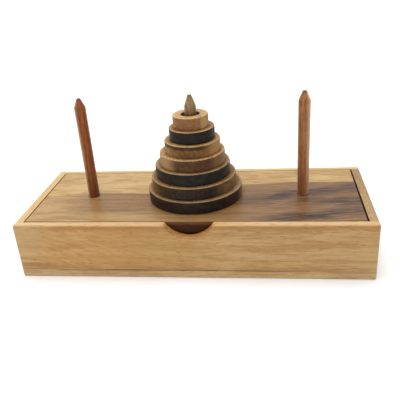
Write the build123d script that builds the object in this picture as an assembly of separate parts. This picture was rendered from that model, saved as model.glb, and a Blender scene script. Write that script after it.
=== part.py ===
from build123d import *
import os
from math import sin, sqrt

# Tower of Hanoi puzzle that stands on its own storage box, all in hardwood.
# The box is four glued walls on a full-size base panel. A loose lid board drops in
# between the walls, rests on a batten at each end and lies flush with the wall tops.
# Three pegs plug into blind holes in the lid. Seven rings, graded in size, are
# stacked on the centre peg. A round notch in the front wall lets a finger lift the lid.
#
# Millimetres. The origin is the centre of the base's underside: +X runs along the
# box to the right, +Y towards the back, and +Z up. The front faces -Y.

# ---- box ----
box_length = 281.0
box_width = 110.0
base_thickness = 7.0
wall_thickness = 6.0    # front and back
end_thickness = 7.0
wall_height = 40.0
arris = 1.5             # rounding on the edges that a hand meets
seam_chamfer = 0.25     # fine V where the walls meet the base
inner_arris = 0.4

# ---- finger notch in the front wall ----
notch_radius = 22.0
notch_depth = 10.8
notch_corner = 1.5      # rounding where the notch runs out at the wall's top

# ---- lid ----
lid_thickness = 10.0
lid_gap_left = 0.6
lid_gap_right = 1.0     # the loose lid leaves its wider end gap on the right
lid_gap_front = 0.9
lid_gap_back = 0.3
lid_arris = 1.0

# ---- lid battens ----
batten_size = 8.0

# ---- pegs ----
peg_radius = 4.65
peg_spacing = 89.0
peg_height = 85.5       # lid to tip
peg_offsets = (-0.2, 0.25, -0.7)  # how far right of its even place each peg hole was drilled
cone_height = 7.2
cone_shoulder = 0.8     # rounding between shaft and cone
worn_cone_height = 8.8  # the centre peg's cone is longer, and sanded rounder at its shoulder
worn_shoulder = 3.0
tip_radius = 1.5
tip_arris = 0.5
plug_radius = 4.4       # turned a hair under the shaft, so the shoulder sits on the lid
plug_length = 6.6
hole_radius = 4.5
hole_depth = 7.0
peg_chamfer = 0.3

# ---- rings ----
ring_count = 7
ring_thickness = 10.0
ring_bore = 7.5
largest_ring_radius = 38.9
ring_step = 4.1         # drop in radius from one ring to the next
ring_arris = 0.8
bore_arris = 0.5
stack_back = 1.5        # the rings are loose on the peg: the stack sits a little behind its axis
stack_left = 0.95       # and a little to the left of it
stack_drift = 0.65      # sideways scatter of a stack made by hand

# ---- brads, hidden underneath and inside ----
brad_radius = 0.6
base_brad_length = 19.0
batten_brad_reach = 4.0  # how far a brad goes into the end wall
head_radius = 1.1
head_thickness = 0.6
head_sunk = 0.3

# ---- worked-out values ----
half_length = box_length / 2
half_width = box_width / 2
box_top = base_thickness + wall_height
inner_half_length = half_length - end_thickness
inner_half_width = half_width - wall_thickness
lid_underside = box_top - lid_thickness
lid_left = -inner_half_length + lid_gap_left
lid_right = inner_half_length - lid_gap_right
lid_centre_x = (lid_left + lid_right) / 2
lid_front = -inner_half_width + lid_gap_front
lid_back = inner_half_width - lid_gap_back


def edges_at(shape, axis, value, direction=None):
    """The edges whose centre lies at a coordinate along an axis, or only those along one direction."""
    found = shape.edges().filter_by_position(axis, value - 0.01, value + 0.01)
    return found.filter_by(direction) if direction else found


def block(low, high):
    """A box from its lowest corner to its highest."""
    size = [b - a for a, b in zip(low, high)]
    centre = [(a + b) / 2 for a, b in zip(low, high)]
    return Pos(*centre) * Box(*size)


def rod(start, axis, radius, length):
    """A round bar from a point along an axis."""
    return extrude(Plane(start, z_dir=axis) * Circle(radius), length)


def brad(start, axis, length):
    """A brad driven from a surface point, its head sunk below that surface."""
    head_at = Vector(*start) + Vector(*axis) * head_sunk
    shank_at = head_at + Vector(*axis) * head_thickness
    head = rod(head_at, axis, head_radius, head_thickness)
    return head + rod(shank_at, axis, brad_radius, length - head_thickness)


def brad_holes(starts_and_axes, length):
    """The holes that a set of brads leaves: the brads, open out to the surface."""
    holes = [brad(start, axis, length) for start, axis in starts_and_axes]
    holes += [rod(start, axis, head_radius, head_sunk) for start, axis in starts_and_axes]
    return holes


# ---- where the brads go ----
wall_middle_x = inner_half_length + end_thickness / 2
wall_middle_y = inner_half_width + wall_thickness / 2
brad_columns = [(i - 1.5) * box_length / 4 for i in range(4)]
base_brad_places = [((x, side * wall_middle_y, 0), (0, 0, 1)) for x in brad_columns for side in (-1, 1)]
base_brad_places += [((side * wall_middle_x, 0, 0), (0, 0, 1)) for side in (-1, 1)]
batten_brad_length = batten_size + batten_brad_reach - head_sunk
batten_face_x = inner_half_length - batten_size
batten_brad_z = lid_underside - batten_size / 2
batten_brad_places = [
    ((side * batten_face_x, y, batten_brad_z), (side, 0, 0))
    for side in (-1, 1)
    for y in (-inner_half_width / 2, inner_half_width / 2)
]


def base_panel():
    """Full-size panel under the walls, with its top edge eased to a fine seam."""
    panel = block((-half_length, -half_width, 0), (half_length, half_width, base_thickness))
    panel = fillet(panel.edges().filter_by(Axis.Z), arris)
    panel = chamfer(panel.faces().sort_by(Axis.Z)[-1].edges(), seam_chamfer)
    panel = fillet(panel.faces().sort_by(Axis.Z)[0].edges(), arris * 0.7)
    return panel - brad_holes(base_brad_places, base_brad_length)


def long_wall(notched):
    """The front wall, or the back wall without its notch, built at the front."""
    wall = block((-half_length, -half_width, base_thickness), (half_length, -inner_half_width, box_top))
    if notched:
        notch_z = box_top - notch_depth + notch_radius
        wall -= rod((0, -half_width, notch_z), (0, 1, 0), notch_radius, wall_thickness)
        half_mouth = sqrt(notch_radius**2 - (notch_radius - notch_depth) ** 2)
        mouth = edges_at(wall, Axis.Z, box_top, Axis.Y)
        mouth = mouth.filter_by(lambda e: abs(e.center().X) < half_mouth + 0.1)
        wall = fillet(mouth, notch_corner)
    outer_face = wall.faces().sort_by(Axis.Y)[0]
    outer = outer_face.edges().filter_by(lambda e: e.center().Z > base_thickness + 0.1)
    ends = ShapeList(e for side in (-1, 1) for e in edges_at(wall, Axis.X, side * half_length, Axis.Y))
    ends = ends.filter_by(lambda e: e.center().Z > base_thickness + 0.1)
    wall = fillet(outer + ends, arris)
    seam = edges_at(wall, Axis.Z, base_thickness).filter_by(lambda e: e.center().Y < -half_width + 0.5)
    return chamfer(seam, seam_chamfer)


def front_wall():
    return long_wall(True) - brad_holes(base_brad_places, base_brad_length)


def back_wall():
    return mirror(long_wall(False), Plane.XZ) - brad_holes(base_brad_places, base_brad_length)


def end_wall(side):
    """The short wall between the long ones: side -1 is the left end, 1 the right."""
    near, far = sorted((side * inner_half_length, side * half_length))
    wall = block((near, -inner_half_width, base_thickness), (far, inner_half_width, box_top))
    wall = fillet(edges_at(wall, Axis.X, side * half_length, Axis.Y).sort_by(Axis.Z)[-1], arris)
    wall = chamfer(edges_at(wall, Axis.X, side * half_length, Axis.Y).sort_by(Axis.Z)[0], seam_chamfer)
    wall -= brad_holes(base_brad_places, base_brad_length)
    return wall - brad_holes(batten_brad_places, batten_brad_length)


def lid_batten(side):
    """Square batten inside an end wall, which carries one end of the lid."""
    near, far = sorted((side * inner_half_length, side * batten_face_x))
    batten = block((near, -inner_half_width, lid_underside - batten_size), (far, inner_half_width, lid_underside))
    eased = edges_at(batten, Axis.X, side * batten_face_x, Axis.Y)
    return fillet(eased, inner_arris) - brad_holes(batten_brad_places, batten_brad_length)


def lid_board():
    """Loose board with three blind peg holes."""
    board = block((lid_left, lid_front, lid_underside), (lid_right, lid_back, box_top))
    board = fillet(board.edges().filter_by(Axis.Z), arris)
    board = fillet(board.faces().sort_by(Axis.Z)[-1].edges(), lid_arris)
    board = fillet(board.faces().sort_by(Axis.Z)[0].edges(), inner_arris)
    floor = box_top - hole_depth
    return board - [rod((peg_x(i), 0, floor), (0, 0, 1), hole_radius, hole_depth) for i in (-1, 0, 1)]


def peg_x(place):
    """Where a peg stands: -1 is left, 0 centre, 1 right."""
    return lid_centre_x + place * peg_spacing + peg_offsets[place + 1]


def peg(place, taper, shoulder_round):
    """Turned peg: a plug for the lid, a straight shaft and a cone with a blunt tip."""
    foot = box_top - plug_length
    tip = box_top + peg_height
    outline = Polyline(
        (0, foot),
        (plug_radius - peg_chamfer, foot),
        (plug_radius, foot + peg_chamfer),
        (plug_radius, box_top),
        (peg_radius - peg_chamfer / 2, box_top),
        (peg_radius, box_top + peg_chamfer),
        (peg_radius, tip - taper),
        (tip_radius, tip),
        (0, tip),
        close=True,
    )
    turned = revolve(Plane.XZ * make_face(outline), Axis.Z)
    turned = fillet(edges_at(turned, Axis.Z, tip - taper), shoulder_round)
    turned = fillet(edges_at(turned, Axis.Z, tip), tip_arris)
    return Pos(peg_x(place), 0, 0) * turned


def ring(level):
    """One ring of the stack: level 0 is the largest, on the lid."""
    outer = largest_ring_radius - ring_step * level
    section = Pos((ring_bore + outer) / 2, 0) * Rectangle(outer - ring_bore, ring_thickness)
    section = fillet(section.vertices().group_by(Axis.X)[0], bore_arris)
    section = fillet(section.vertices().group_by(Axis.X)[-1], ring_arris)
    drift = stack_left + stack_drift * sin(1.05 * level - 0.45)
    middle = box_top + ring_thickness * (level + 0.5)
    return Pos(peg_x(0) - drift, stack_back, middle) * revolve(Plane.XZ * section, Axis.Z)


parts = {
    "base_panel": base_panel(),
    "front_wall": front_wall(),
    "back_wall": back_wall(),
    "left_end_wall": end_wall(-1),
    "right_end_wall": end_wall(1),
    "left_lid_batten": lid_batten(-1),
    "right_lid_batten": lid_batten(1),
    "base_brads": Compound([brad(start, axis, base_brad_length) for start, axis in base_brad_places]),
    "batten_brads": Compound([brad(start, axis, batten_brad_length) for start, axis in batten_brad_places]),
    "lid_board": lid_board(),
    "left_peg": peg(-1, cone_height, cone_shoulder),
    "centre_peg": peg(0, worn_cone_height, worn_shoulder),
    "right_peg": peg(1, cone_height, cone_shoulder),
}
# Rings are numbered as players count them, from 1, the smallest.
for level in range(ring_count):
    parts[f"ring_{ring_count - level}"] = ring(level)

os.makedirs("parts", exist_ok=True)
for name, shape in parts.items():
    export_step(shape, f"parts/{name}.step")
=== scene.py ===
"""Looks for the tower of hanoi puzzle: its woods, a white studio floor, soft light and the camera.

Objects are in metres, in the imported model's frame: +X runs along the box to the right, +Y to the
back, +Z up. Materials work in millimetres of the same frame, so a place on a board is the same
place in its material.
"""
import bpy
import math
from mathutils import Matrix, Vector


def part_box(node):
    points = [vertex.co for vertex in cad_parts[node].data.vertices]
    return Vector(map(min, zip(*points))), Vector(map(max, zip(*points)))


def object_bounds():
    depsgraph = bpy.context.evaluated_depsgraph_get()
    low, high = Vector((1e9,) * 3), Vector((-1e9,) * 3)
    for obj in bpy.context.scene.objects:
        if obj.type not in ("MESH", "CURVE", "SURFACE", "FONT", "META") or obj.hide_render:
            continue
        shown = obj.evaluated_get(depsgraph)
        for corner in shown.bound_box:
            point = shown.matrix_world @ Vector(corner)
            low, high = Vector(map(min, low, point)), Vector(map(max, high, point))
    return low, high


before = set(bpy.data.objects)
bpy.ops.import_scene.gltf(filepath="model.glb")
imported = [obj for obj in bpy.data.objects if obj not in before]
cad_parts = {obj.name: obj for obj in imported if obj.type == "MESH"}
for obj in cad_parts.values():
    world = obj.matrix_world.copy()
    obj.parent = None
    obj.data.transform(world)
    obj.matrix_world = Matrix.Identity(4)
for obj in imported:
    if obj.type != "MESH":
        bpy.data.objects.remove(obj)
cad_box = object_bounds()

MM_PER_M = 1000.0
NOISE_MIDDLE = (0.34, 0.66)         # where nearly all noise lies


def corners_mm(node):
    """The lowest and highest corner of a CAD node, in millimetres."""
    return [corner * MM_PER_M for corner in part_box(node)]


def round_mm(node):
    """The middle and the radius of an upright round CAD node, in millimetres."""
    low, high = corners_mm(node)
    return (low + high) / 2, (high.x - low.x) / 2


def srgb(red, green, blue):
    """An 8-bit sRGB colour as linear RGBA."""
    def linear(level):
        level /= 255
        return level / 12.92 if level <= 0.04045 else ((level + 0.055) / 1.055) ** 2.4
    return (linear(red), linear(green), linear(blue), 1.0)


class Graph:
    """The node tree of a new material or world. Each method adds nodes and returns an output."""

    def __init__(self, holder):
        holder.use_nodes = True
        self.tree = holder.node_tree
        self.tree.nodes.clear()
        coords = self.node("TexCoord", {}).outputs
        self.direction = coords["Generated"]
        self.normal = coords["Normal"]
        self.mm = self.vector("SCALE", coords["Object"], Scale=MM_PER_M)
        self.x, self.y, self.z = self.split(self.mm)
        self.nx, self.ny, self.nz = self.split(self.normal)

    def node(self, kind, inputs, **settings):
        """A node with its settings, and its inputs as values or other nodes' outputs."""
        made = self.tree.nodes.new("ShaderNode" + kind)
        for name, value in settings.items():
            setattr(made, name, value)
        for key, value in inputs.items():
            if isinstance(value, bpy.types.NodeSocket):
                self.tree.links.new(value, made.inputs[key])
            else:
                made.inputs[key].default_value = value
        return made

    def math(self, operation, a, b=0.0):
        return self.node("Math", {0: a, 1: b}, operation=operation).outputs[0]

    def add(self, *terms):
        total = terms[0]
        for term in terms[1:]:
            total = self.math("ADD", total, term)
        return total

    def subtract(self, a, b):
        return self.math("SUBTRACT", a, b)

    def times(self, *factors):
        product = factors[0]
        for factor in factors[1:]:
            product = self.math("MULTIPLY", product, factor)
        return product

    def size(self, value):
        """The value without its sign."""
        return self.math("ABSOLUTE", value)

    def larger(self, a, b):
        return self.math("MAXIMUM", a, b)

    def distance(self, a, b):
        """The length of a step of a one way and b square to it."""
        return self.math("SQRT", self.add(self.times(a, a), self.times(b, b)))

    def from_axis(self, middle):
        """How far a point lies from the upright axis through a place."""
        return self.distance(self.subtract(self.x, middle.x), self.subtract(self.y, middle.y))

    def vector(self, operation, a, b=None, **named):
        inputs = {0: a, **({} if b is None else {1: b}), **named}
        return self.node("VectorMath", inputs, operation=operation).outputs[0]

    def split(self, vector):
        return list(self.node("SeparateXYZ", {0: vector}).outputs)

    def turn(self, vector, axis, degrees):
        """The vector turned about a row axis."""
        inputs = {"Vector": vector, "Angle": math.radians(degrees)}
        return self.node("VectorRotate", inputs, rotation_type=axis + "_AXIS").outputs[0]

    def ease(self, value, low, high):
        """0 at low, 1 at high and smooth between, whichever of the two is larger."""
        inputs = {"Value": value, "From Min": low, "From Max": high}
        return self.node("MapRange", inputs, interpolation_type="SMOOTHSTEP").outputs[0]

    def within(self, value, *spans):
        """1 where the value is inside every span. A span is where it is 0, then where it is 1."""
        return self.times(*[self.ease(value, *span) for span in spans])

    def noise(self, vector, size, seed, detail=2.0):
        """Noise from 0 to 1 whose features have this size in millimetres along each axis."""
        scaled = self.vector("DIVIDE", vector, size)
        moved = self.vector("ADD", scaled, (seed * 7.31, seed * 3.17, seed * 5.53))
        return self.node("TexNoise", {"Vector": moved, "Scale": 1.0, "Detail": detail}).outputs[0]

    def full_noise(self, vector, size, seed):
        """Noise stretched to reach 0 and 1."""
        return self.ease(self.noise(vector, size, seed), *NOISE_MIDDLE)

    def patches(self, size, seed, low, high):
        """1 where noise is above high and 0 where it is below low."""
        return self.ease(self.noise(self.mm, size, seed), low, high)

    def swing(self, size, seed, width):
        """Noise about 0 that spans a width in millimetres."""
        return self.times(self.subtract(self.noise(self.mm, size, seed), 0.5), width)

    def line_noise(self, distance, size):
        """Noise from 0 to 1 along one number."""
        inputs = {"W": self.math("DIVIDE", distance, size), "Scale": 1.0, "Detail": 2.0}
        return self.node("TexNoise", inputs, noise_dimensions="1D").outputs[0]

    def ramp(self, value, tones):
        """Tones spread evenly over values from 0 to 1."""
        made = self.node("ValToRGB", {0: value})
        stops = made.color_ramp.elements
        while len(stops) < len(tones):
            stops.new(0.5)
        for place, (stop, tone) in enumerate(zip(stops, tones)):
            stop.position = place / (len(tones) - 1)
            stop.color = tone
        return made.outputs[0]

    def mix(self, amount, a, b, blend="MIX"):
        made = self.node("Mix", {0: amount, 6: a, 7: b}, data_type="RGBA", blend_type=blend)
        return made.outputs[2]

    def tint(self, colour, tone, strength, *masks, blend="MIX"):
        """The colour with a tone over it, at a strength where every mask is 1."""
        return self.mix(self.times(*masks, strength), colour, tone, blend)

    def shade(self, shading):
        """Ends a material with a surface of these inputs."""
        self.node("OutputMaterial", {0: self.node("BsdfPrincipled", shading).outputs[0]})


# ---- wood ----
# Feature sizes in millimetres along the grain, then across it.
FIBRE_SIZE = (9.0, 0.8, 0.8)
STREAK_SIZE = (30.0, 1.6, 1.6)
DASH_SIZE = (6.0, 0.7, 0.7)         # open pores, which show as short dark dashes
WANDER_SIZE = (95.0, 26.0, 26.0)    # how slowly growth rings wander
BLOTCH_SIZE = (45.0, 12.0, 12.0)
LAYER_SHARES = (0.24, 0.24, 0.32, 0.20)  # how much rings, streaks, fibres and blotches darken wood
TONE_RANGE = (0.15, 0.85)           # the part of that darkness which a wood's tones cover
DASH_CUT = (0.635, 0.72)            # noise values where pores begin and where they are deep
DASH_STRENGTH = 0.5
DASH_TONE = srgb(150, 104, 66)
# painted highlight on rounded edges and on the front's flat top
HIGHLIGHT_TONE = srgb(255, 240, 215)
PITH = (30.0, -70.0)                # where growth rings centre, in a piece's own Y and Z
RELIEF_MM = 0.05
LEVEL = (0.3, 0.8)                  # upward normals of surfaces that count as upright and level
ALONG_X = ("Z", 0)                  # turns that bring a piece's grain onto X
ALONG_Y = ("Z", -90)
ALONG_Z = ("Y", 90)


def growth_rings(g, along, gap, wander, seed):
    """Rings round the pith: 0 is early wood, 1 late wood."""
    _, across, up = g.split(along)
    radius = g.distance(g.subtract(across, PITH[0]), g.subtract(up, PITH[1]))
    drift = g.times(g.noise(along, WANDER_SIZE, seed), wander)
    return g.ease(g.line_noise(g.add(radius, drift), gap), *NOISE_MIDDLE)


def wood(name, tones, grain, seed, figure=None, gap=5.0, wander=40.0, roughness=0.42,
         specular=0.35, side_specular=None, sheen=0.0, scale=1.0):
    """Lacquered wood. figure(graph, colour, fibres) paints what is peculiar to one piece.

    gap is about how far apart growth rings lie and wander how far they stray, in millimetres.
    side_specular replaces specular on upright surfaces. scale is the size of the grain's texture.
    """
    material = bpy.data.materials.new(name)
    g = Graph(material)
    along = g.turn(g.mm, *grain)
    texture = g.vector("SCALE", along, Scale=1.0 / scale)
    rings = growth_rings(g, along, gap, wander, seed)
    fibres = g.full_noise(texture, FIBRE_SIZE, seed + 1)
    blotches = g.full_noise(along, BLOTCH_SIZE, seed + 2)
    pores = g.ease(g.noise(texture, DASH_SIZE, seed + 3, detail=1.0), *DASH_CUT)
    streaks = g.full_noise(texture, STREAK_SIZE, seed + 4)
    layers = zip((rings, streaks, fibres, blotches), LAYER_SHARES)
    darkness = g.add(*[g.times(layer, share) for layer, share in layers])
    colour = g.ramp(g.ease(darkness, *TONE_RANGE), tones)
    if figure:
        colour = figure(g, colour, fibres)
    colour = g.tint(colour, DASH_TONE, DASH_STRENGTH, pores, blend="MULTIPLY")
    if side_specular is not None:
        level = g.ease(g.size(g.nz), *LEVEL)
        specular = g.add(side_specular, g.times(level, specular - side_specular))
    height = g.add(g.times(fibres, 0.3), g.times(pores, -1.0))
    relief = {"Height": height, "Strength": 1.0, "Distance": RELIEF_MM / MM_PER_M}
    g.shade({
        "Base Color": colour,
        "Roughness": g.add(roughness, g.times(fibres, 0.10), g.times(pores, 0.15)),
        "Specular IOR Level": specular,
        "Sheen Weight": sheen,
        "Sheen Roughness": 0.4,
        "Normal": g.node("Bump", relief).outputs[0],
    })
    return material


def squareness(g, grain):
    """How squarely the surface cuts the grain: 0 on long grain, 1 on end grain."""
    return g.size(g.split(g.turn(g.normal, *grain))[0])


# ---- what the features below are made of ----
# A span is where a feature is gone and then where it is full: millimetres of X, Y or Z, a part of
# the normal, or a noise's value. A noise is its feature size in millimetres along X, Y and Z and
# its seed. Patches are a noise and a span, and a swing is a noise and a width in millimetres.
FACING = (0.5, 0.9)                 # part of the normal towards the side in question

# ---- box ----
BOX_LOW = cad_box[0] * MM_PER_M
LID_LOW, LID_HIGH = corners_mm("lid_board")
BOX_TOP = LID_HIGH.z
SEAM_Z = corners_mm("base_panel")[1].z
NOTCH_RADIUS = 22.0
NOTCH_DEPTH = 10.8
NOTCH_CENTRE_Z = BOX_TOP - NOTCH_DEPTH + NOTCH_RADIUS

BOX_TONES = [srgb(218, 181, 125), srgb(208, 167, 110), srgb(195, 150, 92)]
BASE_TONES = [srgb(222, 190, 140), srgb(212, 175, 124), srgb(198, 156, 104)]
BOX_END_TONE = srgb(196, 152, 100)
PALE_TONE = srgb(208, 176, 120)     # top edges, rubbed and bleached
GOLD_TONE = srgb(202, 148, 76)
DUSK_TONE = srgb(245, 242, 236)     # dims the front beyond its golden end
BROWN_TONE = srgb(158, 108, 66)
TOP_BAND_TONE = srgb(182, 128, 66)
SEAM_TONE = srgb(70, 42, 22)
LIP_SHADE_AND_GOLD_TONE = srgb(196, 144, 76)       # painted shade on the rounding along the front's top edge; golden tone beside the notch
RIM_TONE = srgb(150, 98, 40)
RIM_FLECK = srgb(180, 122, 48)
# painted shade of the gap round the lid
GAP_SHADE_TONE = srgb(48, 26, 12)
DULL_TONE = srgb(130, 100, 66)

END_GRAIN = (0.5, 0.95)             # of squareness
TOP_FACE = (0.55, 0.9)
ARRIS = (0.95, 0.80)                # of the normal's largest part
SEAM_RAGGED = ((9.0, 9.0, 2.0), 71)
SEAM_WARMTH = ((30.0, 9.0, 1.4), 72, 0.4, 0.65)
SEAM_UNBROKEN = ((11.0, 11.0, 11.0), 73, 0.36, 0.56)
SEAM_LEFT, SEAM_RIGHT = (-84.0, -60.0), (105.0, 20.0)
BY_SEAM = (4.0, 0.0)


def board_figure(grain):
    """What every board of the box has: end grain, pale tops, painted highlights on the edges and the
    seam.
    """
    def paint_on(g, colour, fibres):
        colour = g.tint(colour, BOX_END_TONE, 1.0, g.ease(squareness(g, grain), *END_GRAIN))
        colour = g.tint(colour, PALE_TONE, 0.6, g.ease(g.nz, *TOP_FACE))
        facing = g.larger(g.larger(g.size(g.nx), g.size(g.ny)), g.size(g.nz))
        # painted highlight along the rounded edges
        colour = g.tint(colour, HIGHLIGHT_TONE, 0.12, g.ease(facing, *ARRIS), blend="SCREEN")
        return seam_line(g, colour)
    return paint_on


def seam_line(g, colour):
    """A dark, broken glue line where the walls meet the base, faint towards the ends of the box.

    It goes by height alone, so it also darkens the base's whole upper face, inside the box.
    """
    ragged = g.times(g.noise(g.mm, *SEAM_RAGGED), 0.3)
    off_seam = g.size(g.subtract(g.z, SEAM_Z))
    near = g.ease(off_seam, g.add(0.5, ragged), ragged)
    middle = g.within(g.x, SEAM_LEFT, SEAM_RIGHT)
    strength = g.add(0.14, g.times(middle, g.add(0.3, g.times(g.patches(*SEAM_UNBROKEN), 0.42))))
    warmth = g.patches(*SEAM_WARMTH)
    colour = g.tint(colour, BROWN_TONE, 0.35, g.ease(off_seam, *BY_SEAM), warmth)
    return g.tint(colour, SEAM_TONE, strength, near)


FLAMES = ((16.0, 10.0, 2.6), 21)
FLAME_SLOPE = 20.0                  # degrees that the front's wavy figure falls to the right
FLAME_CREST = (0.65, 1.0)
GOLD_LEFT, GOLD_RIGHT = (-134.0, -108.0), (40.0, -60.0)
FLARE_LEFT, FLARE_RIGHT = (-136.0, -120.0), (-55.0, -90.0)
DUSK_X = (-70.0, -25.0)
TOP_BAND_X = (-122.0, -98.0)
TOP_BAND_Z = (BOX_TOP - 4.4, BOX_TOP - 2.4)
LEFT_PALE_X, LEFT_PALE_Z = (-100.0, -132.0), (20.0, 40.0)
RIGHT_PALE_X, RIGHT_PALE_Z = (126.0, 140.0), (26.0, 6.0)
UNDER_TOP_PATCHES = ((9.0, 4.0, 1.0), 22, 0.42, 0.62)
UNDER_TOP_LOW, UNDER_TOP_HIGH = (BOX_TOP - 3.0, BOX_TOP - 2.0), (BOX_TOP - 0.6, BOX_TOP - 1.6)
STREAK_X = (-70.0, -126.0)
STREAK_LEFT_Z = 11.5                # the brown streak's height at the box's left end
STREAK_SLOPE = -0.05
STREAK_EDGE = (3.4, 0.6)            # distance from the streak's middle


def front_face(g, colour, flames, fibres):
    """Golden, wavy wood towards the left, pale ends, a patchy brown band under the top and a streak
    low down.
    """
    wavy = g.add(0.55, g.times(flames, 0.45))
    colour = g.tint(colour, GOLD_TONE, 0.74, g.within(g.x, GOLD_RIGHT, GOLD_LEFT), wavy)
    colour = g.tint(colour, DUSK_TONE, 1.0, g.ease(g.x, *DUSK_X), blend="MULTIPLY")
    flares = g.times(g.ease(flames, *FLAME_CREST), g.within(g.x, FLARE_RIGHT, FLARE_LEFT))
    colour = g.tint(colour, BROWN_TONE, 0.22, flares)
    wavy_z = g.add(g.z, g.times(flames, 1.5))
    colour = g.tint(colour, TOP_BAND_TONE, 0.6, g.ease(wavy_z, *TOP_BAND_Z), g.ease(g.x, *TOP_BAND_X))
    colour = g.tint(colour, PALE_TONE, 0.55, g.ease(g.x, *LEFT_PALE_X), g.ease(g.z, *LEFT_PALE_Z))
    colour = g.tint(colour, PALE_TONE, 0.5, g.ease(g.x, *RIGHT_PALE_X), g.ease(g.z, *RIGHT_PALE_Z))
    # a brown band, in patches, just under the top edge
    under_top_z = g.within(g.z, UNDER_TOP_LOW, UNDER_TOP_HIGH)
    colour = g.tint(colour, BROWN_TONE, 0.45, under_top_z, g.patches(*UNDER_TOP_PATCHES))
    streak_z = g.add(STREAK_LEFT_Z, g.times(g.subtract(g.x, BOX_LOW.x), STREAK_SLOPE))
    off_streak = g.size(g.subtract(g.add(g.z, g.times(fibres, -1.2)), streak_z))
    streak = g.times(g.ease(off_streak, *STREAK_EDGE), g.ease(g.x, *STREAK_X))
    return g.tint(colour, BROWN_TONE, 0.45, streak)


ROUNDED = (0.15, 0.45), (0.99, 0.90)    # upward normals on the top's rounding
FLAT = (0.93, 0.99)                     # and on the flat behind it
LIP_Z = (BOX_TOP - 2.0, BOX_TOP - 1.4)
BY_NOTCH = (62.0, 34.0)                 # distance from the middle of the box


def front_top(g, colour):
    """The top edge: painted shade on a golden rounding, a painted highlight on the flat, golden
    beside the notch.
    """
    high = g.ease(g.z, *LIP_Z)
    # painted shade on the rounding, where it turns away from the light
    colour = g.tint(colour, LIP_SHADE_AND_GOLD_TONE, 0.65, g.within(g.nz, *ROUNDED), high)
    flat = g.times(g.ease(g.nz, *FLAT), high)
    # painted highlight on the flat behind the rounding
    colour = g.tint(colour, HIGHLIGHT_TONE, 0.07, flat, blend="SCREEN")
    return g.tint(colour, LIP_SHADE_AND_GOLD_TONE, 0.25, flat, g.ease(g.size(g.x), *BY_NOTCH))


RIM_FLECKS = ((2.6, 2.6, 2.6), 24, 0.42, 0.64)
NOTCH_INSIDE = (0.98, 0.80)             # forward part of the normal
NOTCH_UPWARD = (0.02, 0.2)              # upward part
NOTCH_Z = (BOX_TOP - 1.1, BOX_TOP - 2.0)
SCORCHED = (NOTCH_RADIUS + 4.5, NOTCH_RADIUS)   # distance from the notch's centre


def notch_rim(g, colour):
    """The notch's darker rim, and flecks of the same tone on the face round it."""
    flecks = g.patches(*RIM_FLECKS)
    inside = g.times(g.ease(g.size(g.ny), *NOTCH_INSIDE), g.ease(g.z, *NOTCH_Z))
    rim_tone = g.mix(flecks, RIM_TONE, RIM_FLECK)
    colour = g.tint(colour, rim_tone, 0.85, inside, g.ease(g.nz, *NOTCH_UPWARD))
    from_centre = g.distance(g.x, g.subtract(g.z, NOTCH_CENTRE_Z))
    return g.tint(colour, RIM_FLECK, 0.5, g.ease(from_centre, *SCORCHED), flecks)


def front_figure(g, colour, fibres):
    """The front wall, whose wavy figure slopes down to the right."""
    flames = g.full_noise(g.turn(g.mm, "Y", -FLAME_SLOPE), *FLAMES)
    colour = front_face(g, colour, flames, fibres)
    colour = board_figure(ALONG_X)(g, colour, fibres)
    return notch_rim(g, front_top(g, colour))


PORE_SPECKS = ((1.2, 3.0, 1.2), 83, 0.52, 0.66)
BY_LID = (LID_LOW.z - 1.0, LID_LOW.z + 1.0), (BOX_TOP, BOX_TOP - 0.8)
DIRTY_Y = (-20.0, 25.0)
DIRTY_TOP = (0.4, 0.8)


def end_figure(side, gap_shade_strength, dirty):
    """End wall: side is -1 at the left and 1 at the right.

    The inner face is painted dark where the lid drops in, a painted shade of the gap beside the lid,
    also when the lid is lifted. A dirty wall's top is dull with open pores.
    """
    def paint_on(g, colour, fibres):
        colour = board_figure(ALONG_Y)(g, colour, fibres)
        inward = g.ease(g.times(g.nx, -side), *FACING)
        # painted shade of the gap on the inner face beside the lid
        colour = g.tint(colour, GAP_SHADE_TONE, gap_shade_strength, inward, g.within(g.z, *BY_LID))
        if dirty:
            specks = g.patches(*PORE_SPECKS)
            dirt = g.add(0.5, g.times(specks, 0.3), g.times(g.ease(g.y, *DIRTY_Y), 0.18))
            colour = g.tint(colour, DULL_TONE, dirt, g.ease(g.nz, *DIRTY_TOP))
        return colour
    return paint_on


# ---- lid ----
SAPWOOD = [srgb(200, 166, 112), srgb(186, 151, 96), srgb(164, 127, 74)]
HEARTWOOD = srgb(138, 100, 58)
HEART_SHADE = srgb(112, 76, 40)
RUSSET_TONE = srgb(108, 72, 44)
INK_TONE = srgb(54, 34, 26)
GLINT_TONE = srgb(176, 138, 98)
LID_ARRIS_TONE = srgb(118, 78, 47)
LID_SIDE_TONE = srgb(96, 66, 42)
NOTCH_EDGE_SHADE_TONE = srgb(61, 31, 19)     # the front edge behind the notch: dark heartwood under a painted shade of the recess

WANDER = ((60.0, 14.0, 14.0), 31, 14.0)
FINE_WANDER = ((26.0, 2.2, 2.2), 32, 9.0)
BANDS = ((70.0, 3.2, 3.2), 33)
THREADS = ((22.0, 1.3, 1.3), 34)
THREAD_RISE = 8.0                   # degrees that the threads run back towards the right
HEART_BACK_Y = 3.0                  # the heartwood's back edge at the left,
HEART_RISE = 20.0                   # how much further back it lies at the right
HEART_RISE_X = (-45.0, 85.0)        # and where it gets there
HEART_EDGE = (2.5, -2.5)            # Y from that edge
LEFT_END_X = (-70.0, -122.0)
FRONT_EDGE_X, FRONT_EDGE_Y = (-5.0, -60.0), (-26.0, -42.0)
LINE_IN_FRONT = 5.0                 # the dark line's middle, in front of the heartwood's edge
LINE_WIDTH = (6.0, 0.0)
LINE_X = (-80.0, -45.0), (0.0, -20.0)
RUSSET_X = (0.0, 95.0)
GLINT_X = (10.0, 70.0)
GLINT_THREADS = (0.35, 0.0)
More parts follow.
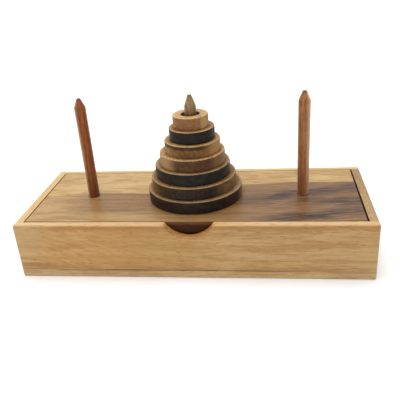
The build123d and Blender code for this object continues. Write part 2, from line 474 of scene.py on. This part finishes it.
RIGHT_END_X = (104.0, 132.0)
HOLE_SHADE = (1.6, 0.2)              # distance from the peg
NOTCH_EDGE_X = (44.0, 25.0)            # distance from the middle of the box
LOW_EDGE_Z = (BOX_TOP - 0.6, BOX_TOP - 4.5)
FRONT_EDGE_NY = (-0.2, -0.7)

# Each dark streak: its Y where X is INK_X, slope, half width, strength and span along X.
INK_X = 88.0
INK_STREAKS = [
    (1.0, 0.23, 12.0, 1.0, (5.0, 94.0)),
    (-16.0, 0.02, 12.0, 0.8, (82.0, 122.0)),
    (-13.0, 0.05, 14.0, 0.36, (-5.0, 50.0)),
    (-40.5, 0.26, 11.5, 0.9, (20.0, 80.0)),
]


def lid_figure(g, colour, fibres):
    """Light sapwood at the back, heartwood in front, and dark streaks towards the right end."""
    y = g.add(g.y, g.swing(*WANDER), g.swing(*FINE_WANDER))
    bands = g.full_noise(g.mm, *BANDS)
    threads = g.full_noise(g.turn(g.mm, "Z", -THREAD_RISE), *THREADS)
    heart_back = g.add(HEART_BACK_Y, g.times(g.ease(g.x, *HEART_RISE_X), HEART_RISE))
    off_back = g.subtract(y, heart_back)
    left_end = g.times(g.ease(g.x, *LEFT_END_X), 0.72)
    front_edge = g.times(g.ease(y, *FRONT_EDGE_Y), g.ease(g.x, *FRONT_EDGE_X), 0.65)
    paler = g.larger(left_end, front_edge)
    heart = g.times(g.ease(off_back, *HEART_EDGE), g.subtract(1.0, paler))
    colour = g.tint(colour, g.mix(bands, HEARTWOOD, HEART_SHADE), 0.82, heart)
    off_line = g.size(g.add(off_back, LINE_IN_FRONT))
    line = g.times(g.ease(off_line, *LINE_WIDTH), g.within(g.x, *LINE_X))
    colour = g.tint(colour, HEART_SHADE, 0.5, line)
    russet = g.mix(bands, RUSSET_TONE, HEART_SHADE)
    colour = g.tint(colour, russet, 0.55, heart, g.ease(g.x, *RUSSET_X))
    colour = ink_streaks(g, colour, y, threads)
    glints = g.times(heart, g.ease(g.x, *GLINT_X), g.ease(threads, *GLINT_THREADS))
    colour = g.tint(colour, GLINT_TONE, 0.35, glints)
    colour = g.tint(colour, HEART_SHADE, 0.2, g.ease(g.x, *RIGHT_END_X))
    return lid_edges(g, lid_holes(g, colour))


def ink_streaks(g, colour, y, threads):
    """Dark streaks, streaky themselves. y is Y with the grain's wander."""
    inky = g.add(0.7, g.times(threads, 0.6))
    for middle, slope, half_width, strength, span in INK_STREAKS:
        line = g.add(middle, g.times(g.subtract(g.x, INK_X), slope))
        off_line = g.size(g.subtract(y, line))
        streak = g.times(g.ease(off_line, half_width, 0.0), g.ease(g.x, *span), inky)
        colour = g.tint(colour, INK_TONE, strength, streak)
    return colour


def lid_holes(g, colour):
    """A dark ring round each outer peg: painted shade of the gap and contact at its foot."""
    for node in ("left_peg", "right_peg"):
        middle, radius = round_mm(node)
        off_peg = g.subtract(g.from_axis(middle), radius)
        # painted shade round the peg's foot
        colour = g.tint(colour, INK_TONE, 0.6, g.ease(off_peg, *HOLE_SHADE))
    return colour


def lid_edges(g, colour):
    """The lid's cut edges: brown, and on the front darker, a painted shade of the gap and the notch.
    """
    # painted shade on the front edge: darker lower down, darkest behind the notch
    low_tone = g.tint(LID_SIDE_TONE, NOTCH_EDGE_SHADE_TONE, 0.95, g.ease(g.size(g.x), *NOTCH_EDGE_X))
    front_tone = g.mix(g.ease(g.z, *LOW_EDGE_Z), LID_ARRIS_TONE, low_tone)
    colour = g.tint(colour, LID_SIDE_TONE, 0.55, g.ease(g.larger(g.nx, g.ny), *FACING))
    colour = g.tint(colour, LID_SIDE_TONE, 0.3, g.ease(g.times(g.nx, -1.0), *FACING))
    return g.tint(colour, front_tone, 0.94, g.ease(g.ny, *FRONT_EDGE_NY))


# ---- rings ----
# painted highlight on the rings' rims, and also their light flecks
RIM_HIGHLIGHT_AND_FLECK_TONE = srgb(140, 110, 76)
# painted shade of the ring above, with some dirt
TOP_SHADE_AND_GRIME = srgb(204, 196, 182)
# painted shade down the rings' bores
BORE_SHADE_TONE = srgb(58, 32, 16)
STAIN_TONE = srgb(214, 188, 164)
PATCH_TONE = srgb(190, 150, 94)
PATCH_BORDER_TONE = srgb(96, 62, 34)
BAND_TONE = srgb(48, 38, 30)
GOLDEN_TONE = srgb(188, 146, 88)
TAN_TONE = srgb(182, 148, 104)
LIGHT_TONE = srgb(150, 112, 76)
RED_TONE = srgb(88, 50, 34)
OLIVE_TONE = srgb(112, 88, 50)
DULL_TAN_TONE = srgb(152, 120, 80)

TOP_RING = "ring_1"
MOTTLE = ((7.0, 7.0, 3.0), 90)
FLECKS = ((1.5, 1.5, 2.2), 95, 0.50, 0.66)
STAINS = ((2.6, 2.6, 2.0), 97, 0.48, 0.66)
DEEP_END_GRAIN = (0.35, 0.92)       # of squareness
DULL_INSET = (1.2, 3.6)             # distance in from the ring's side
RIM_INSET = (1.6, 0.7)
RIM_NZ = (0.4, 0.75)
BORE_REACH = (8.6, 7.8)             # distance from the ring's axis
BORE_NZ = (0.9, 0.4)
ON_SIDE = (0.35, 0.2)               # upward normals, from the rim's rounding to the side

PATCH_X = 7.9                       # the left border of ring 1's patch
PATCH_FRONT_Y = (2.0, -2.0)
PATCH_INSIDE, PATCH_BORDER = (0.0, 1.6), (1.1, 0.2)     # X from that border
PATCH_RAGGED = ((3.0, 3.0, 3.4), 98, 6.0)
PATCH_SPECKS = ((1.6, 1.6, 1.6), 99, 0.40, 0.60)
BAND_NZ = (0.4, 0.2)                # ring 3
BAND_Z = (-3.4, -2.2)               # from the ring's top
BAND_X, GOLDEN_X = (18.0, 8.0), (7.0, 22.0)
TAN_X, LIGHT_X = (-10.0, -22.0), (14.0, 20.0)           # ring 4
RED_X = (1.0, 8.0), (19.0, 12.0)
OLIVE_MOTTLE = (0.1, 1.0)           # ring 6
OLIVE_X, DULL_TAN_X = (10.0, -24.0), (15.0, 33.0)


def ring_1_patch(g, colour, mottle):
    """A speckled golden patch with a dark border on the right of the front."""
    off_border = g.subtract(g.add(g.x, g.swing(*PATCH_RAGGED)), PATCH_X)
    front = g.ease(g.y, *PATCH_FRONT_Y)
    speckled = g.add(0.35, g.times(g.patches(*PATCH_SPECKS), 0.5))
    colour = g.tint(colour, PATCH_TONE, speckled, g.ease(off_border, *PATCH_INSIDE), front)
    border = g.ease(g.size(off_border), *PATCH_BORDER)
    return g.tint(colour, PATCH_BORDER_TONE, 0.4, border, front)


def ring_3_band(g, colour, mottle):
    """Golden at the right, and a dark band along the upper edge from the left to past the middle."""
    side = g.ease(g.nz, *BAND_NZ)
    mottled = g.add(0.4, g.times(mottle, 0.6))
    colour = g.tint(colour, GOLDEN_TONE, 0.75, g.ease(g.x, *GOLDEN_X), side, mottled)
    off_top = g.subtract(g.add(g.z, g.times(mottle, 0.9)), corners_mm("ring_3")[1].z)
    return g.tint(colour, BAND_TONE, 0.8, g.ease(off_top, *BAND_Z), g.ease(g.x, *BAND_X), side)


def ring_4_sides(g, colour, mottle):
    """Tan at the left, red-brown right of the middle and lighter brown beyond."""
    side = g.ease(g.nz, *ON_SIDE)
    colour = g.tint(colour, TAN_TONE, 0.85, side, g.ease(g.x, *TAN_X))
    colour = g.tint(colour, LIGHT_TONE, 0.55, side, g.ease(g.x, *LIGHT_X))
    return g.tint(colour, RED_TONE, 0.4, side, g.within(g.x, *RED_X))


def ring_6_patches(g, colour, mottle):
    """Olive patches on the left of its side, and a tan one at the right."""
    side = g.ease(g.nz, *ON_SIDE)
    olive = g.times(g.ease(mottle, *OLIVE_MOTTLE), g.ease(g.x, *OLIVE_X))
    colour = g.tint(colour, OLIVE_TONE, 0.3, olive, side)
    mottled = g.add(0.35, g.times(mottle, 0.5))
    return g.tint(colour, DULL_TAN_TONE, mottled, side, g.ease(g.x, *DULL_TAN_X))


# Each ring: its face tones and end-grain tones, the grain's turn from X in degrees, how squarely the
# surface must cut the grain to show end grain, how level a surface must lie to count as the top,
# which shows no end grain and takes the painted highlight on its rim, its mottling and what else is
# painted on it.
RING_WOODS = {
    "ring_1": {
        "face": [srgb(198, 164, 118), srgb(180, 144, 96)],
        "end": [srgb(164, 121, 77), srgb(138, 97, 57)],
        "turn": 80, "square": (0.4, 0.9), "level_top": (0.3, 0.62), "mottling": 0.5,
        "extras": ring_1_patch,
    },
    "ring_2": {
        "face": [srgb(176, 136, 92), srgb(150, 110, 70)],
        "end": [srgb(50, 45, 39), srgb(25, 26, 24)],
        "turn": 100, "square": (0.0, 0.3), "level_top": (0.35, 0.7), "mottling": 0.1,
    },
    "ring_3": {
        "face": [srgb(190, 154, 102), srgb(156, 120, 72)],
        "end": [srgb(142, 102, 60), srgb(112, 78, 43)],
        "turn": 96, "square": (0.45, 0.95), "level_top": (0.55, 0.85), "mottling": 0.6,
        "extras": ring_3_band,
    },
    "ring_4": {
        "face": [srgb(196, 160, 110), srgb(164, 126, 82)],
        "end": [srgb(114, 81, 48), srgb(78, 52, 31)],
        "turn": 104, "square": (0.25, 0.9), "level_top": (0.55, 0.85), "mottling": 0.6,
        "extras": ring_4_sides,
    },
    "ring_5": {
        "face": [srgb(166, 134, 92), srgb(136, 104, 68)],
        "end": [srgb(56, 50, 41), srgb(23, 23, 20)],
        "turn": 97, "square": (0.0, 0.35), "level_top": (0.8, 0.97), "mottling": 0.1,
    },
    "ring_6": {
        "face": [srgb(152, 118, 78), srgb(122, 90, 56)],
        "end": [srgb(63, 51, 37), srgb(25, 22, 18)],
        "turn": 98, "square": (0.1, 0.8), "level_top": (0.6, 0.88), "mottling": 0.25,
        "extras": ring_6_patches,
    },
    "ring_7": {
        "face": [srgb(160, 127, 88), srgb(132, 98, 64)],
        "end": [srgb(62, 47, 37), srgb(25, 19, 18)],
        "turn": 92, "square": (0.08, 0.45), "level_top": (0.8, 0.97), "mottling": 0.15,
    },
}


def ring_figure(node, looks, grain):
    """End grain front and back, painted shade and dirt near the ring above, a painted rim highlight.
    """
    middle, radius = round_mm(node)

    def paint_on(g, colour, fibres):
        mottle = g.full_noise(g.mm, *MOTTLE)
        reach = g.from_axis(middle)
        inset = g.subtract(radius, reach)
        if node != TOP_RING:
            # painted shade and dirt darkening the top towards the ring above
            dull = g.add(0.6, g.times(mottle, 0.4))
            under = g.ease(inset, *DULL_INSET)
            colour = g.tint(colour, TOP_SHADE_AND_GRIME, dull, under, blend="MULTIPLY")
        square = squareness(g, grain)
        depth = g.add(0.35, g.times(mottle, 0.4), g.times(fibres, 0.25))
        end_tone = g.mix(g.times(depth, g.ease(square, *DEEP_END_GRAIN)), *looks["end"])
        level_top = g.ease(g.nz, *looks["level_top"])
        below_top = g.subtract(1.0, level_top)
        colour = g.tint(colour, end_tone, 1.0, g.ease(square, *looks["square"]), below_top)
        flecks = g.patches(*FLECKS)
        colour = g.tint(colour, RIM_HIGHLIGHT_AND_FLECK_TONE, looks["mottling"] * 0.3, flecks, blend="SCREEN")
        stains = g.patches(*STAINS)
        colour = g.tint(colour, STAIN_TONE, looks["mottling"], stains, blend="MULTIPLY")
        # painted highlight along the rim of each ring's top
        rim = g.times(g.ease(g.nz, *RIM_NZ), level_top, g.ease(inset, *RIM_INSET))
        glow = g.add(0.4, g.times(flecks, 0.5))
        colour = g.tint(colour, RIM_HIGHLIGHT_AND_FLECK_TONE, glow, rim, blend="SCREEN")
        # painted shade down the bore and on its edge
        bore = g.times(g.ease(reach, *BORE_REACH), g.ease(g.nz, *BORE_NZ))
        colour = g.tint(colour, BORE_SHADE_TONE, 0.7, bore)
        extras = looks.get("extras")
        return extras(g, colour, mottle) if extras else colour
    return paint_on


# ---- pegs ----
RED_PEG = [srgb(176, 106, 48), srgb(156, 85, 30), srgb(130, 65, 18)]
TAN_PEG = [srgb(184, 128, 74), srgb(164, 106, 53), srgb(140, 84, 38)]
LIGHT_PEG = [srgb(190, 158, 110), srgb(156, 124, 78), srgb(114, 82, 42)]
FOOT_TONE = srgb(160, 134, 110)
# painted light on one side of the outer pegs
LIT_SIDE_TONE = srgb(228, 188, 150)
DIRT_TONE = srgb(84, 66, 52)

DIRT = ((1.8, 1.8, 1.8), 44, 0.40, 0.60)
PEG_TIP_Z = corners_mm("right_peg")[1].z
TIP_Z = (PEG_TIP_Z - 2.0, PEG_TIP_Z - 0.8)
SHOULDER_Z = PEG_TIP_Z - 7.4        # where the shaft rounds into the cone
SHOULDER_EDGE = (2.6, 0.4)          # distance from there
LIT_SIDE_NX = (0.2, 0.9)               # part of the normal towards the side painted as lit
FOOT_START = (-30.0, -3.0)          # the shade's lower limit, from where the foot is fully dark
LID_FOOT = (BOX_TOP + 46.0, BOX_TOP - 4.0)
STACK_TOP = corners_mm(TOP_RING)[1].z
STACK_FOOT = (STACK_TOP + 9.0, STACK_TOP - 2.0)


def peg_figure(foot_shade, foot, lit_side, dirtiness):
    """A foot darker towards the bottom, a side painted lighter as if lit from there, and a dirty tip.

    foot is the span of the foot's shade. lit_side is -1 for the left side, 1 for the right and 0
    for neither; that side is painted lighter, as if lit from there.
    """
    full_z = foot[1]

    def paint_on(g, colour, fibres):
        if lit_side:
            # painted light: one side lightened as if lit from there
            lit = g.ease(g.times(g.nx, lit_side), *LIT_SIDE_NX)
            colour = g.tint(colour, LIT_SIDE_TONE, 0.8, lit)
        shoulder = g.ease(g.size(g.subtract(g.z, SHOULDER_Z)), *SHOULDER_EDGE)
        dirty = g.larger(g.ease(g.z, *TIP_Z), g.times(shoulder, g.patches(*DIRT), 0.7))
        colour = g.tint(colour, DIRT_TONE, dirtiness, dirty)
        # the peg darkened towards the bottom of its foot
        started = g.ease(g.subtract(g.z, full_z), *FOOT_START)
        shaded = g.times(g.ease(g.z, *foot), started)
        return g.tint(colour, FOOT_TONE, foot_shade, shaded, blend="MULTIPLY")
    return paint_on


# ---- painting ----
STEEL_TONES = [srgb(150, 150, 148), srgb(205, 204, 200)]
SCRATCHES = ((0.2, 0.2, 3.0), 61)

# Each board: its tones, grain and figure. Boards, pegs and rings each take every third seed.
BOARDS = {
    "front_wall": (BOX_TONES, ALONG_X, front_figure),
    "back_wall": (BOX_TONES, ALONG_X, board_figure(ALONG_X)),
    "left_end_wall": (BOX_TONES, ALONG_Y, end_figure(-1, 0.15, False)),
    "right_end_wall": (BOX_TONES, ALONG_Y, end_figure(1, 0.94, True)),
    "base_panel": (BASE_TONES, ALONG_X, board_figure(ALONG_X)),
    "left_lid_batten": (BOX_TONES, ALONG_Y, None),
    "right_lid_batten": (BOX_TONES, ALONG_Y, None),
}
# Each peg: its tones, the shade and span of its foot, its painted lit side and how dirty its tip is.
PEGS = {
    "left_peg": (RED_PEG, 0.75, LID_FOOT, -1, 0.65),
    "centre_peg": (LIGHT_PEG, 0.9, STACK_FOOT, 0, 0.3),
    "right_peg": (TAN_PEG, 0.25, LID_FOOT, 1, 0.55),
}
LID_SEED = 40.0
FIRST_PEG_SEED = 50.0
FIRST_RING_SEED = 70.0
SEED_STEP = 3


def paint(node, material):
    """Gives a CAD node one material."""
    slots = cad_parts[node].data.materials
    slots.clear()
    slots.append(material)


def steel():
    material = bpy.data.materials.new("steel")
    g = Graph(material)
    scratches = g.noise(g.mm, *SCRATCHES)
    g.shade({
        "Base Color": g.ramp(scratches, STEEL_TONES),
        "Metallic": 1.0,
        "Roughness": g.add(0.28, g.times(scratches, 0.2)),
    })
    return material


def paint_box():
    for place, (node, (tones, grain, figure)) in enumerate(BOARDS.items()):
        seed = place * SEED_STEP
        paint(node, wood(node + "_wood", tones, grain, seed, figure, wander=14.0, specular=0.5))
    paint("lid_board", wood("lid_wood", SAPWOOD, ALONG_X, LID_SEED, lid_figure, roughness=0.30,
                            specular=0.4, side_specular=0.06))
    metal = steel()
    paint("base_brads", metal)
    paint("batten_brads", metal)


def paint_pegs():
    for place, (node, (tones, *marks)) in enumerate(PEGS.items()):
        seed = FIRST_PEG_SEED + place * SEED_STEP
        paint(node, wood(node + "_wood", tones, ALONG_Z, seed, peg_figure(*marks), gap=2.0,
                         wander=12.0, sheen=0.35, scale=0.5))


def paint_rings():
    for place, (node, looks) in enumerate(RING_WOODS.items()):
        seed = FIRST_RING_SEED + place * SEED_STEP
        grain = ("Z", -looks["turn"])
        figure = ring_figure(node, looks, grain)
        paint(node, wood(node + "_wood", looks["face"], grain, seed, figure, gap=3.0, wander=20.0,
                         roughness=0.48, specular=0.2, scale=0.6))


# ---- studio ----
WHITE = srgb(255, 255, 255)
LIT_PAPER = srgb(234, 232, 229)     # what the floor throws back on the wood
SEEN_PAPER = srgb(248, 248, 248)    # what the camera sees of it
FLOOR_SIZE = 12.0                   # metres
NEAR_GLOW = 0.155
FAR_GLOW = 0.6                      # more, so that the floor meets the room without a line
FAR = (300.0, 1500.0)               # millimetres from the origin
BEHIND = (-0.6, 0.5)                # the backward part of a direction in the room
ROOM_LIGHT = (0.20, 0.76)           # and the room's light over that range
LIGHTS = [                          # name, place, size and watts
    ("overhead", (-0.15, 0.1, 1.3), 1.2, 15.0),
    ("front_fill", (-0.2, -1.4, 0.95), 0.9, 6.0),
]
LIGHTS_AIM = (0, 0, 0.05)
CAMERA_PLACE = (0.0620, -0.3963, 0.2352)
CAMERA_TURN = (64.152, 3.806, 6.698)    # degrees about X, Y and Z
CAMERA_LENS = 47.2                      # for the default 36 mm sensor
CAMERA_NEAR = 0.01


def floor():
    """A white sweep, brighter to the camera than the light it throws back on the wood."""
    half = FLOOR_SIZE / 2
    corners = [(-half, -half, 0), (half, -half, 0), (half, half, 0), (-half, half, 0)]
    mesh = bpy.data.meshes.new("floor")
    mesh.from_pydata(corners, [], [(0, 1, 2, 3)])
    sheet = bpy.data.objects.new("floor", mesh)
    bpy.context.scene.collection.objects.link(sheet)
    material = bpy.data.materials.new("floor")
    g = Graph(material)
    seen = g.node("LightPath", {}).outputs["Is Camera Ray"]
    glow = g.add(NEAR_GLOW, g.times(g.ease(g.distance(g.x, g.y), *FAR), FAR_GLOW))
    g.shade({
        "Base Color": g.mix(seen, LIT_PAPER, SEEN_PAPER),
        "Roughness": 0.9,
        "Specular IOR Level": 0.0,
        "Emission Color": WHITE,
        "Emission Strength": g.times(seen, glow),
    })
    mesh.materials.append(material)


def room():
    """White all round to the camera; as light, bright behind and above and dim in front."""
    world = bpy.data.worlds.new("room")
    g = Graph(world)
    _, backward, _ = g.split(g.direction)
    inputs = {"Value": backward, "From Min": BEHIND[0], "From Max": BEHIND[1]}
    inputs.update({"To Min": ROOM_LIGHT[0], "To Max": ROOM_LIGHT[1]})
    light = g.node("MapRange", inputs).outputs[0]
    seen = g.node("LightPath", {}).outputs["Is Camera Ray"]
    glow = g.node("Background", {"Color": WHITE, "Strength": g.larger(seen, light)})
    g.node("OutputWorld", {0: glow.outputs[0]})
    bpy.context.scene.world = world


def softbox(name, place, size, watts):
    """A square area light that faces the middle of the lid."""
    light = bpy.data.lights.new(name, "AREA")
    light.size = size
    light.energy = watts
    lamp = bpy.data.objects.new(name, light)
    lamp.location = place
    lamp.rotation_mode = "QUATERNION"
    lamp.rotation_quaternion = (Vector(LIGHTS_AIM) - Vector(place)).to_track_quat("-Z", "Y")
    bpy.context.scene.collection.objects.link(lamp)


def camera():
    lens = bpy.data.cameras.new("camera")
    lens.lens = CAMERA_LENS
    lens.clip_start = CAMERA_NEAR
    body = bpy.data.objects.new("camera", lens)
    body.location = CAMERA_PLACE
    body.rotation_euler = [math.radians(angle) for angle in CAMERA_TURN]
    bpy.context.scene.collection.objects.link(body)
    bpy.context.scene.camera = body


paint_box()
paint_pegs()
paint_rings()
floor()
room()
for light in LIGHTS:
    softbox(*light)
camera()
bpy.context.scene.view_settings.view_transform = "Standard"
